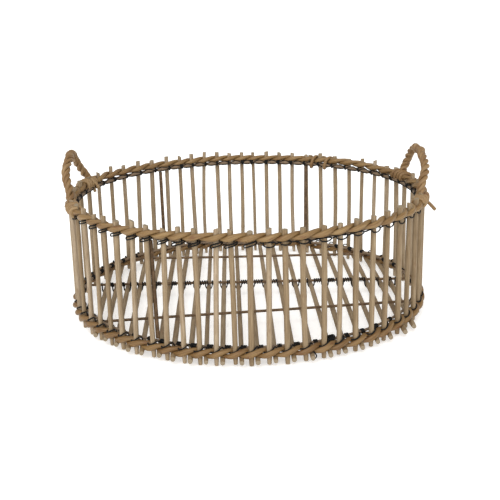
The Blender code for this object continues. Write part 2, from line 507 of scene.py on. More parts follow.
@dataclass(frozen=True)
class WireFinish:
    """Steel wire with a coat of paint: smooth, with worn places along it, and paler on a wire
    whose shade is above one half.

    Attributes:
        name: The material's name.
        coat: Colour of the paint.
        worn: Colour where it is worn or soiled.
        worn_share: How much the worn colour shows.
        pale_colour: Colour of a wire whose shade is 1.
        roughness: Roughness of the paint.
        patch: Width of a worn patch, in metres; it has finer specks in it.
        relief: Height of the paint's unevenness, in metres.
    """

    name: str
    coat: str
    worn: str
    worn_share: float
    pale_colour: str
    roughness: float
    patch: float = 6.0 * MM
    relief: float = 0.05 * MM

    def build(self) -> bpy.types.Material:
        """Makes the material.

        Returns:
            The material.
        """
        material, tree, shader = new_material(self.name)
        place = add_node(tree, "TexCoord").outputs["Object"]
        patches = add_node(tree, "TexNoise", inputs={
            "Vector": place, "Scale": 1 / self.patch, "Detail": 3.0}).outputs["Fac"]
        share = add_node(tree, "MapRange", inputs={
            "Value": patches, "From Min": 0.45, "From Max": 0.70, "To Max": self.worn_share})
        patched = add_node(tree, "Mix", {"data_type": "RGBA"}, {
            MixSocket.SHARE: share.outputs[0], MixSocket.FIRST: paint(self.coat),
            MixSocket.SECOND: paint(self.worn)})
        tint = add_node(tree, "Attribute", {"attribute_name": Grain.TINT})
        # A wire whose shade is above one half is mixed towards the paler colour.
        pale_share = add_node(tree, "MapRange", inputs={"Value": tint.outputs["Fac"], "From Min": 0.5})
        colour = add_node(tree, "Mix", {"data_type": "RGBA"}, {
            MixSocket.SHARE: pale_share.outputs[0],
            MixSocket.FIRST: patched.outputs[MixSocket.RESULT],
            MixSocket.SECOND: paint(self.pale_colour)})
        tree.links.new(colour.outputs[MixSocket.RESULT], shader.inputs["Base Color"])
        gloss = add_node(tree, "MapRange", inputs={
            "Value": patches, "From Min": 0.3, "From Max": 0.7,
            "To Min": self.roughness, "To Max": self.roughness + 0.2})
        tree.links.new(gloss.outputs[0], shader.inputs["Roughness"])
        shader.inputs["Specular IOR Level"].default_value = 0.25
        bump = add_node(tree, "Bump", inputs={
            "Strength": 0.3, "Distance": self.relief, "Height": patches})
        tree.links.new(bump.outputs[0], shader.inputs["Normal"])
        return material


# Mild steel wire, brown paint gone dull: a soft sheen with rusty places, and paler on the rings.
FRAME_WIRE = WireFinish("painted_steel_wire", coat="58442F", worn="7C6349", worn_share=0.9,
                        pale_colour="9C8A76", roughness=0.45)
# Thin annealed steel wire with black coating: dark, a slight gleam along its turns.
BLACK_WIRE = WireFinish("black_annealed_wire", coat="050505", worn="110F0D", worn_share=0.5,
                        pale_colour="1C1916", roughness=0.6)


# ---------------------------------------------------------------- where things stand


@dataclass(frozen=True)
class Layout:
    """Places and sizes that the sub-assemblies share, taken from the CAD nodes' boxes.

    Attributes:
        rod_radius: Half the thickness of a peeled rod.
        strand_radius: Half the thickness of the CAD's twined cane.
        wire_radius: Half the thickness of the frame's wire.
        thread_radius: Half the thickness of the black binding wire.
        clearance: Gap between a rod and the frame.
        spread: How much farther out the rods stand than in the CAD.
        ring_drop: How much lower the bottom ring is than in the CAD.
        top_ring_lift: How much higher the top ring is than in the CAD.
        top_ring_wire: Half the thickness of the top ring.
        crowding: How far the rods crowd towards the front and the back.
        turn: How far the whole ring of rods is turned.
        wander: Waves of the rods' uneven spacing: how often each comes in a round, and the
            degrees of its sine and its cosine.
        frame_radius: Radius of the wire rings.
        ring_radius: Radius of the ring of rods, to their middles.
        rim_height: Height of the rim rope's middle.
        foot_height: Height of the CAD's foot strand.
        top_ring_height: Height of the top wire ring.
        bottom_ring_height: Height of the bottom wire ring.
        rod_top: Height of the rods.
    """

    rod_radius: float = 3.6 * MM
    strand_radius: float = 3.0 * MM
    wire_radius: float = 2.0 * MM
    thread_radius: float = 0.95 * MM
    clearance: float = 0.3 * MM
    spread: float = 1.4 * MM
    ring_drop: float = 1.3 * MM
    top_ring_lift: float = 2.4 * MM
    top_ring_wire: float = 2.7 * MM
    crowding: float = math.radians(5.0)
    turn: float = math.radians(1.6)
    wander: tuple[tuple[int, float, float], ...] = (
        (0, 0.0, 0.4), (1, -0.85, 0.0), (2, 0.0, -1.2), (3, 0.5, -0.5), (4, -0.3, 0.5))
    frame_radius: float = field(init=False)
    ring_radius: float = field(init=False)
    rim_height: float = field(init=False)
    foot_height: float = field(init=False)
    top_ring_height: float = field(init=False)
    bottom_ring_height: float = field(init=False)
    rod_top: float = field(init=False)

    def __post_init__(self) -> None:
        """Reads the heights and radii off the CAD nodes."""
        low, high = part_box("frame_top_ring")
        outer = (high.x - low.x) / 2
        measured = {
            "frame_radius": outer - self.wire_radius,
            "ring_radius": outer + self.clearance + self.rod_radius + self.spread,
            "rim_height": box_middle("rim_strand_a").z,
            "foot_height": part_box("foot_strand_a")[0].z + self.strand_radius,
            "top_ring_height": box_middle("frame_top_ring").z + self.top_ring_lift,
            "bottom_ring_height": box_middle("frame_bottom_ring").z - self.ring_drop,
            "rod_top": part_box("wall_rods_01")[1].z,
        }
        for name, value in measured.items():
            object.__setattr__(self, name, value)

    def rod_angle(self, place: float) -> float:
        """Works out where an upright rod stands, by a smooth uneven spacing.

        Args:
            place: The rod's number, from the front towards the right; halves are gaps.

        Returns:
            Its angle round the basket.
        """
        even = 2 * math.pi * place / ROD_COUNT
        wandered = sum(sine * math.sin(count * even) + cosine * math.cos(count * even)
                       for count, sine, cosine in self.wander)
        return even + self.turn - self.crowding * math.sin(2 * even) + math.radians(wandered)


@dataclass
class UprightRod:
    """How one upright rod stands.

    Attributes:
        place: Its place round the ring.
        angle: Its angle at mid height.
        lean: How much farther round its top is than its foot, in metres.
        thickness: Its thickness as a share of the usual one.
        foot: Height of its foot.
        top: Height of its top.
        bow: Sideways bow at mid height, in metres.
        tint: Its shade: a random tone, raised towards the back as painted light.
        slant: Steepness of the cut at its top.
        slant_turn: Which way that cut faces, in radians.
    """

    place: int
    angle: float
    lean: float
    thickness: float
    foot: float
    top: float
    bow: float
    tint: float
    slant: float
    slant_turn: float


def kept_within(value: float, low: float, high: float) -> float:
    """Returns the value, or the limit that it passes."""
    return max(low, min(high, value))


@dataclass
class RodWall:
    """The sixty upright rods, five to a piece.

    Attributes:
        layout: The shared sizes.
        rods_per_panel: Rods in one piece.
        sides: Sides round a rod.
        rings: Cuts along a rod.
        seed: Seed of the rods' unevenness.
        nudge_spread: Usual error of a rod's angle.
        lean_spread: Usual distance of a rod's top to the side of its foot.
        furthest_lean: Most that this distance may be.
        thickness_spread: Usual difference from the whole thickness, as a share of it.
        back_thinning: How much thinner the rods at the back are, as a share.
        foot_spread: Usual height of a rod's foot above the floor.
        top_drop: How much lower a rod's top usually is than in the CAD.
        top_spread: Usual difference from that.
        bow_spread: Usual sideways bow.
        slant_spread: Usual steepness of the cut at the top.
        slanted_end: Length of rod, at the top, that the slanting cut changes.
        tip_taper: Length of rod, at the foot, over which it thins.
        tip_share: Thickness at the foot as a share of the whole.
        rods: How each rod stands.
    """

    layout: Layout
    rods_per_panel: int = 5
    sides: int = 14
    rings: int = 15
    seed: int = 11
    nudge_spread: float = math.radians(0.2)
    lean_spread: float = 2.2 * MM
    furthest_lean: float = 5.0 * MM
    thickness_spread: float = 0.07
    back_thinning: float = 0.07
    foot_spread: float = 1.2 * MM
    top_drop: float = 1.8 * MM
    top_spread: float = 1.6 * MM
    bow_spread: float = 0.9 * MM
    slant_spread: float = 0.3
    slanted_end: float = 2.5 * MM
    tip_taper: float = 14.0 * MM
    tip_share: float = 0.78
    rods: list[UprightRod] = field(default_factory=list)

    def __post_init__(self) -> None:
        """Settles how each rod stands."""
        drawn = random.Random(self.seed)
        for place in range(ROD_COUNT):
            nudge = drawn.gauss(0, self.nudge_spread)
            # 0 at the front and 1 at the back, where the rods are thinner and painted paler, as
            # painted light on their inner faces.
            back = 0.5 - 0.5 * math.cos(2 * math.pi * place / ROD_COUNT)
            lean = drawn.gauss(0, self.lean_spread)
            thickness = drawn.gauss(1.0, self.thickness_spread)
            foot = abs(drawn.gauss(0, self.foot_spread))
            higher = drawn.gauss(-self.top_drop, self.top_spread)
            self.rods.append(UprightRod(
                place=place, angle=self.layout.rod_angle(place) + nudge,
                lean=kept_within(lean, -self.furthest_lean, self.furthest_lean),
                thickness=kept_within(thickness, 0.86, 1.14) - self.back_thinning * back,
                foot=foot, top=self.layout.rod_top + kept_within(higher, -5 * MM, 2 * MM),
                bow=drawn.gauss(0, self.bow_spread),
                tint=blend_between(0.85 * drawn.random(), 1.0, 0.6 * back),
                slant=min(0.65, abs(drawn.gauss(0, self.slant_spread))),
                slant_turn=drawn.uniform(0, FULL_TURN)))

    def angle_at(self, place: float) -> float:
        """Works out the angle round the ring at a place, through the rods as they stand.

        Args:
            place: The rod's number, with a share of the way to the next one.

        Returns:
            The angle at mid height.
        """
        low = math.floor(place)
        turns, low_rod = divmod(low, ROD_COUNT)
        high_turns, high_rod = divmod(low + 1, ROD_COUNT)
        start = self.rods[low_rod].angle + 2 * math.pi * turns
        end = self.rods[high_rod].angle + 2 * math.pi * high_turns
        return blend_between(start, end, place - low)

    def rod_shift(self, place: float, height: float) -> float:
        """Works out how far a leaning rod stands from its own angle.

        Args:
            place: The rod's number.
            height: Height above the floor.

        Returns:
            The difference in radians.
        """
        rod = self.rods[round(place) % ROD_COUNT]
        share = height / self.layout.rod_top
        return rod.lean * (share - 0.5) / self.layout.ring_radius

    def angle_at_height(self, place: float, height: float) -> float:
        """Works out the angle at a place and height, following the rods as they lean.

        Args:
            place: The rod's number, with a share of the way to the next one.
            height: Height above the floor.

        Returns:
            The angle.
        """
        low = math.floor(place)
        shift = blend_between(self.rod_shift(low, height), self.rod_shift(low + 1, height),
                              place - low)
        return self.angle_at(place) + shift

    def build(self, material: bpy.types.Material) -> None:
        """Models one rod and sets sixty copies of it in twelve panels.

        Args:
            material: The peeled rods' finish.
        """
        blank = rod_blank("upright_rod_blank", self.layout.rod_radius, self.layout.rod_top,
                          self.sides, self.rings)
        for number in range(ROD_COUNT // self.rods_per_panel):
            first = number * self.rods_per_panel
            copies = [self.stand(blank, self.rods[place])
                      for place in range(first, first + self.rods_per_panel)]
            panel = join(f"upright_rods_{number + 1:02d}", copies)
            dress(panel, Slot.PEELED_ROD, material, f"wall_rods_{number + 1:02d}")
        bpy.data.objects.remove(blank)

    def stand(self, blank: bpy.types.Object, rod: UprightRod) -> bpy.types.Object:
        """Copies the blank and stands it in its place.

        Args:
            blank: The straight rod.
            rod: How the copy stands.

        Returns:
            The copy.
        """
        length = rod.top - rod.foot
        slope = Vector((math.cos(rod.angle), math.sin(rod.angle), 0.0))
        outward = Vector((math.sin(rod.angle), -math.cos(rod.angle), 0.0))
        middle = polar(self.layout.ring_radius, rod.angle, 0.0)

        def bend(point: Vector, along: float) -> Vector:
            """Places a point of the straight rod.

            Args:
                point: The point's place across the rod.
                along: Its distance along the rod.

            Returns:
                Its place in the basket.
            """
            height = rod.foot + along
            if length - along < self.slanted_end:
                height += rod.slant * (point.x * math.cos(rod.slant_turn)
                                       + point.y * math.sin(rod.slant_turn))
            side = rod.lean * (height / self.layout.rod_top - 0.5)
            side += rod.bow * math.sin(math.pi * along / length)
            taper = min(1.0, along / self.tip_taper)
            thickness = rod.thickness * blend_between(self.tip_share, 1.0, taper)
            return (middle + slope * (point.x * thickness + side)
                    + outward * (point.y * thickness) + Vector((0, 0, height)))

        return copy_of_blank(blank, length, bend, rod.tint, f"upright_{rod.place}")


def rod_blank(name: str, radius: float, length: float, sides: int,
              rings: int) -> bpy.types.Object:
    """Models one straight peeled rod, sawn at both ends, standing on the origin.

    Args:
        name: Name of the blank.
        radius: Half its thickness.
        length: Its length.
        sides: Sides round it.
        rings: Cuts along it.

    Returns:
        The blank.
    """
    deselect_all()
    bpy.ops.mesh.primitive_cylinder_add(vertices=sides, radius=radius, depth=length,
                                        end_fill_type="NGON", location=(0, 0, length / 2))
    blank = bpy.context.object
    blank.name = name
    bpy.ops.object.transform_apply(location=True, rotation=False, scale=False)
    bpy.ops.object.mode_set(mode="EDIT")
    select_parts(blank, "edges",
                 lambda edge: abs(edge.verts[0].co.z - edge.verts[1].co.z) > length / 2)
    bpy.ops.mesh.subdivide(number_cuts=rings)
    # Sawn ends: a worn edge and a ring inside it, so that the end has its own points.
    select_parts(blank, "faces", lambda face: abs(face.normal.z) > 0.9)
    for width, depth in ((0.5 * MM, 0.35 * MM), (0.15 * MM, 0.0)):
        bpy.ops.mesh.inset(thickness=width, depth=depth, use_individual=True)
    bpy.ops.object.mode_set(mode="OBJECT")
    bpy.ops.object.shade_smooth_by_angle(angle=ROD_SMOOTH_ANGLE)
    return blank


def copy_of_blank(blank: bpy.types.Object, length: float,
                  bend: Callable[[Vector, float], Vector], tint: float,
                  seed: str) -> bpy.types.Object:
    """Copies a blank with its own mesh, stretched to a length and bent into place.

    Args:
        blank: The straight rod.
        length: The copy's length.
        bend: Places a point, given its place across the rod and its distance along it.
        tint: The copy's shade: a random tone, painted paler on the back upright rods and darker on
            the base rods, as painted light and shade.
        seed: Seed of its small bumps.

    Returns:
        The copy.
    """
    drawn = random.Random(seed)
    offset = any_place(drawn)
    # Three slight knots, each 2 to 7 percent thicker than the rod, and a slightly oval section.
    knots = [(drawn.uniform(0.05, 0.95) * length, drawn.uniform(0.02, 0.07)) for _ in range(3)]
    knot_length = 6 * MM
    oval = drawn.uniform(-0.05, 0.05)
    copy = bpy.data.objects.new(f"{blank.name}_{seed}", blank.data.copy())
    bpy.context.scene.collection.objects.link(copy)
    lengths = [vertex.co.z for vertex in blank.data.vertices]
    low, high = min(lengths), max(lengths)
    # Near its ends the rod keeps its shape, and only the length between is stretched.
    edge = 2 * MM
    sawn_depth = 0.05 * MM
    places, cuts = [], []
    for vertex in copy.data.vertices:
        from_low, from_high = vertex.co.z - low, high - vertex.co.z
        if from_low < edge:
            along = from_low
        elif from_high < edge:
            along = length - from_high
        else:
            share = (from_low - edge) / (high - low - 2 * edge)
            along = blend_between(edge, length - edge, share)
        swell = 1 + sum(height * math.exp(-((along - place) / knot_length) ** 2)
                        for place, height in knots)
        across = Vector((vertex.co.x * swell * (1 + oval), vertex.co.y * swell * (1 - oval), 0))
        places.append(offset + Vector((across.x, across.y, along)))
        cuts.append(1.0 if min(from_low, from_high) < sawn_depth else 0.0)
        vertex.co = bend(across, along)
    Grain.write(copy.data, places, [tint] * len(places), cuts)
    return copy


def join(name: str, parts: Sequence[bpy.types.Object]) -> bpy.types.Object:
    """Joins objects into one named piece.

    Args:
        name: The piece's name.
        parts: The objects.

    Returns:
        The piece.
    """
    deselect_all()
    for part in parts:
        part.select_set(True)
    bpy.context.view_layer.objects.active = parts[0]
    if len(parts) > 1:
        bpy.ops.object.join()
    parts[0].name = name
    parts[0].data.name = name
    return parts[0]


@dataclass
class SlattedBase:
    """The twenty-two long rods of the base, each beside an upright rod at both ends.

    Attributes:
        layout: The shared sizes.
        wall: The upright rods.
        first: Number of the upright rod that the leftmost base rod stands beside.
        count: Number of base rods.
        beside: Distance between the middles of a base rod and its upright rod.
        crossing_height: Height at which a base rod passes the upright ones.
        bow: How much higher the longest rod is at its middle than at its ends.
        bow_fullness: Shape of the bow; the lower, the flatter its middle.
        end_spread: Usual distance from a rod's end to the CAD's.
        blank_length: Length of the first rod, which the copies are stretched from.
        lifted: How much higher the rods lie than in the CAD.
        tip_taper: Length over which a rod thins towards each end.
        tip_share: Thickness at the ends as a share of the whole.
        sides: Sides round a rod.
        rings: Cuts along a rod.
        seed: Seed of the rods' unevenness.
        lines: Where each rod crosses the ring, at the front and at the back.
    """

    layout: Layout
    wall: RodWall
    first: int = -11
    count: int = 22
    beside: float = 8.0 * MM
    crossing_height: float = 10.0 * MM
    bow: float = 6.0 * MM
    bow_fullness: float = 0.7
    end_spread: float = 2.2 * MM
    blank_length: float = 0.5
    lifted: float = 1.3 * MM
    tip_taper: float = 14.0 * MM
    tip_share: float = 0.85
    sides: int = 14
    rings: int = 24
    seed: int = 5
    lines: list[tuple[Vector, Vector]] = field(default_factory=list)

    def __post_init__(self) -> None:
        """Settles where each rod crosses the ring, at the front and at the back."""
        half = ROD_COUNT // 2
        for index in range(self.count):
            place = self.first + index
            front = self.crossing(place, place + 1)
            back = self.crossing(half - place, half - place - 1)
            self.lines.append((front, back))

    def crossing(self, place: int, following: int) -> Vector:
        """Works out where a base rod passes the ring, just right of an upright rod.

        Args:
            place: The upright rod's number.
            following: Number of the upright rod to its right.

        Returns:
            The crossing, at floor height.
        """
        radius = self.layout.ring_radius
        near, far = (polar(radius, self.wall.angle_at_height(p, self.crossing_height), 0)
                     for p in (place, following))
        x = near.x + min(self.beside, (far.x - near.x) / 2)
        y = math.copysign(math.sqrt(radius ** 2 - x ** 2), near.y)
        return Vector((x, y, 0))

    def point(self, index: int, y: float) -> Vector:
        """Works out the middle of a base rod.

        Args:
            index: The rod's number, from the left.
            y: Distance to the back.

        Returns:
            The middle.
        """
        front, back = self.lines[index]
        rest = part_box(f"base_rod_{index + 1:02d}")[0].z + self.layout.rod_radius + self.lifted
        share = (y - front.y) / (back.y - front.y)
        x = blend_between(front.x, back.x, share)
        lift = self.bow * (back.y - front.y) / (2 * self.layout.ring_radius)
        inside = kept_within(share, 0.0, 1.0)
        return Vector((x, y, rest + lift * math.sin(math.pi * inside) ** self.bow_fullness))

    def build(self, material: bpy.types.Material) -> None:
        """Models one rod and lays the others as copies of it.

        Args:
            material: The peeled rods' finish.
        """
        drawn = random.Random(self.seed)
        blank = rod_blank("base_rod_blank", self.layout.rod_radius, self.blank_length,
                          self.sides, self.rings)
        for index in range(self.count):
            node = f"base_rod_{index + 1:02d}"
            low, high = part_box(node)
            start = low.y + abs(drawn.gauss(0, self.end_spread))
            end = high.y - abs(drawn.gauss(0, self.end_spread))
            thickness = kept_within(drawn.gauss(1.0, 0.05), 0.9, 1.08)

            def bend(point: Vector, along: float) -> Vector:
                """Places a point of the straight rod.

                Args:
                    point: The point's place across the rod.
                    along: Its distance along the rod.

                Returns:
                    Its place in the basket.
                """
                middle = self.point(index, start + along)
                taper = min(1.0, min(along, end - start - along) / self.tip_taper)
                whole = thickness * blend_between(self.tip_share, 1.0, taper)
                return middle + Vector((point.x * whole, 0, point.y * whole))

            # Base rods take only the darker half of the shades: painted shade, as they lie under
            # the basket.
            rod = copy_of_blank(blank, end - start, bend, drawn.uniform(0.0, 0.5), f"base_{index}")
            rod = join(f"slat_rod_{index + 1:02d}", [rod])
            turn_outward(rod)
            dress(rod, Slot.PEELED_ROD, material, node)
        bpy.data.objects.remove(blank)


def turn_outward(obj: bpy.types.Object) -> None:
    """Points every face of a closed piece outward.

    Args:
        obj: The piece.
    """
    select_only(obj)
    bpy.ops.object.mode_set(mode="EDIT")
    bpy.ops.mesh.select_all(action="SELECT")
    bpy.ops.mesh.normals_make_consistent(inside=False)
    bpy.ops.object.mode_set(mode="OBJECT")


@dataclass
class TwinedRope:
    """Two strands of cane twined round the rods, one in front while the other is behind.

    Attributes:
        layout: The shared sizes.
        wall: The upright rods.
        level: Which of the two ropes it is.
        seed: Seed of its unevenness.
        swing: How far out and in a strand passes the rods.
        rise: How far up and down it goes between them.
        thickness: Thickness of a strand.
        upright: Height factor of a strand's section where it passes a rod.
        pressed: Height factor in the gap between two rods.
        sag: How much lower the rim rope is at the back.
        foot_lift: How much higher the foot rope is than the CAD's strand.
        waves: Height of each slow wave of the rope, and how often it comes in a round.
        shades: Range of the strands' shades, for each level; the foot rope's range is darker as
            painted shade.
        swell: How much thicker a strand is at its thickest, as a share.
        swell_step: Phase of that swelling from one point to the next.
        steps_per_gap: Points from one rod to the next.
    """

    layout: Layout
    wall: RodWall
    level: Level
    seed: int
    swing: float = 5.0 * MM
    rise: float = 2.6 * MM
    thickness: float = 6.9 * MM
    upright: float = 1.22
    pressed: float = 0.8
    sag: float = 0.3 * MM
    foot_lift: float = 1.2 * MM
    waves: tuple[tuple[float, int], ...] = ((0.8 * MM, 3), (0.6 * MM, 7), (0.3 * MM, 13))
    shades: dict[Level, tuple[float, float]] = field(default_factory=lambda: {
        Level.RIM: (0.4, 0.8), Level.FOOT: (0.0, 0.3)})
    swell: float = 0.05
    swell_step: float = 0.21
    steps_per_gap: int = 8

    @property
    def height(self) -> float:
        """Height of the rope's middle."""
        if self.level is Level.RIM:
            return self.layout.rim_height
        return self.layout.foot_height + self.foot_lift

    def point(self, place: float, phase: int, wave: Callable[[float], float]) -> Vector:
        """Works out a point of a strand's middle line.

        Args:
            place: The rod's number, with a share of the way to the next one.
            phase: 0 for the strand that passes the even rods outside, 1 for the other.
            wave: The rope's slow rise and fall, by angle.

        Returns:
            The point.
        """
        turn = math.pi * (place + phase)
        angle = self.wall.angle_at_height(place, self.height)
        radius = self.layout.ring_radius + self.swing * math.cos(turn)
        return polar(radius, angle, self.height + self.rise * math.sin(turn) + wave(angle))

    def build(self, material: bpy.types.Material) -> None:
        """Sweeps the two strands.

        Args:
            material: The twined cane's finish.
        """
        drawn = random.Random(self.seed)
        phases = [drawn.uniform(0, FULL_TURN) for _ in self.waves]
        sag = self.sag if self.level is Level.RIM else 0.0

        def wave(angle: float) -> float:
            """Returns the rope's slow rise and fall at an angle round the basket."""
            rise = sum(height * math.sin(count * angle + phase)
                       for (height, count), phase in zip(self.waves, phases))
            return rise - sag * (1 - math.cos(angle)) / 2

        for phase, letter in enumerate("ab"):
            count = ROD_COUNT * self.steps_per_gap
            line = [self.point(step / self.steps_per_gap, phase, wave) for step in range(count)]
            flats = [blend_between(self.upright, self.pressed,
                                   math.sin(math.pi * step / self.steps_per_gap) ** 2)
                     for step in range(count)]
            swell = [1 + self.swell * math.sin(step * self.swell_step + phases[0])
                     + drawn.uniform(-0.02, 0.02) for step in range(count)]
            # The foot rope draws from a darker range: painted shade low down inside the basket.
            tint = drawn.uniform(*self.shades[self.level])
            strand = Strand(line, self.thickness / 2, closed=True, tint=tint, swell=swell,
                            flats=flats)
            node = f"{self.level.value}_strand_{letter}"
            piece = sweep(f"twined_{node}", [strand], resolution=3)
            dress(piece, Slot.TWINED_CANE, material, node)


@dataclass
class WireFrame:
    """Two rings, four uprights and three cross wires inside the rods.

    Attributes:
        layout: The shared sizes.
        ring_steps: Points round a ring.
        upright_steps: Steps along an upright.
        cross_steps: Steps along a cross wire.
        upright_radius: Half the thickness of an upright.
        cross_waver: How far a cross wire strays from a straight line.
        ring_tints: Shades of the top and the bottom ring, paler as they near 1.
        upright_leans: How much farther round the ring an upright's top is than its foot.
        upright_shifts: How much farther round an upright stands than its CAD node, to line up
            with a rod.
    """

    layout: Layout
    ring_steps: int = 160
    upright_steps: int = 8
    cross_steps: int = 24
    upright_radius: float = 2.9 * MM
    cross_waver: float = 0.6 * MM
    ring_tints: tuple[float, float] = (0.65, 0.7)
    upright_leans: dict[str, float] = field(default_factory=lambda: {
        "front_left": -4.0 * MM, "back_left": 1.5 * MM, "back_right": -1.0 * MM})
    upright_shifts: dict[str, float] = field(default_factory=lambda: {
        "front_right": 4.6 * MM, "back_right": -2.4 * MM})

    def build(self, material: bpy.types.Material) -> None:
        """Sweeps each wire in the place of its CAD node.

        Args:
            material: The painted wire's finish.
        """
        layout = self.layout
        for name, height, tint, radius in (
                ("frame_top_ring", layout.top_ring_height, self.ring_tints[0],
                 layout.top_ring_wire),
                ("frame_bottom_ring", layout.bottom_ring_height, self.ring_tints[1],
                 layout.wire_radius)):
            line = [polar(layout.frame_radius, 2 * math.pi * step / self.ring_steps, height)
                    for step in range(self.ring_steps)]
            self.finish(name, line, material, closed=True, tint=tint, radius=radius)
        for label in ("front_left", "front_right", "back_right", "back_left"):
            name = f"frame_upright_{label}"
            low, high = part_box(name)
            middle = (low + high) / 2
            angle = math.atan2(middle.x, -middle.y)
            radius = math.hypot(middle.x, middle.y)
            angle += self.upright_shifts.get(label, 0.0) / radius
            lean = self.upright_leans.get(label, 0.0) / radius
            line = [polar(radius, angle + lean * (step / self.upright_steps - 0.5),
                          blend_between(low.z, high.z, step / self.upright_steps))
                    for step in range(self.upright_steps + 1)]
            self.finish(name, line, material, radius=self.upright_radius)
        for label in ("front", "middle", "back"):
            name = f"frame_cross_wire_{label}"
            low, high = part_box(name)
            near, far = low.y + layout.wire_radius, high.y - layout.wire_radius
            line = []
            for step in range(self.cross_steps + 1):
                share = step / self.cross_steps
                waver = self.cross_waver * math.sin(9 * share + 5 * near)
                line.append(Vector((blend_between(low.x, high.x, share),
                                    blend_between(near, far, share) + waver,
                                    (low.z + high.z) / 2)))
            self.finish(name, line, material)

    def finish(self, node: str, line: list[Vector], material: bpy.types.Material,
               closed: bool = False, radius: float | None = None, tint: float = 0.5) -> None:
        """Sweeps one wire and gives it its finish.

        Args:
            node: The CAD node that it stands for.
            line: Points along its middle.
            material: The painted wire's finish.
            closed: Whether it joins up with its start.
            radius: Half its thickness, or None for the usual wire.
            tint: Its own shade.
        """
        strand = Strand(line, radius or self.layout.wire_radius, closed=closed, tint=tint)
        piece = sweep(node.replace("frame_", "wire_"), [strand], resolution=3)
        dress(piece, Slot.FRAME_WIRE, material, node)


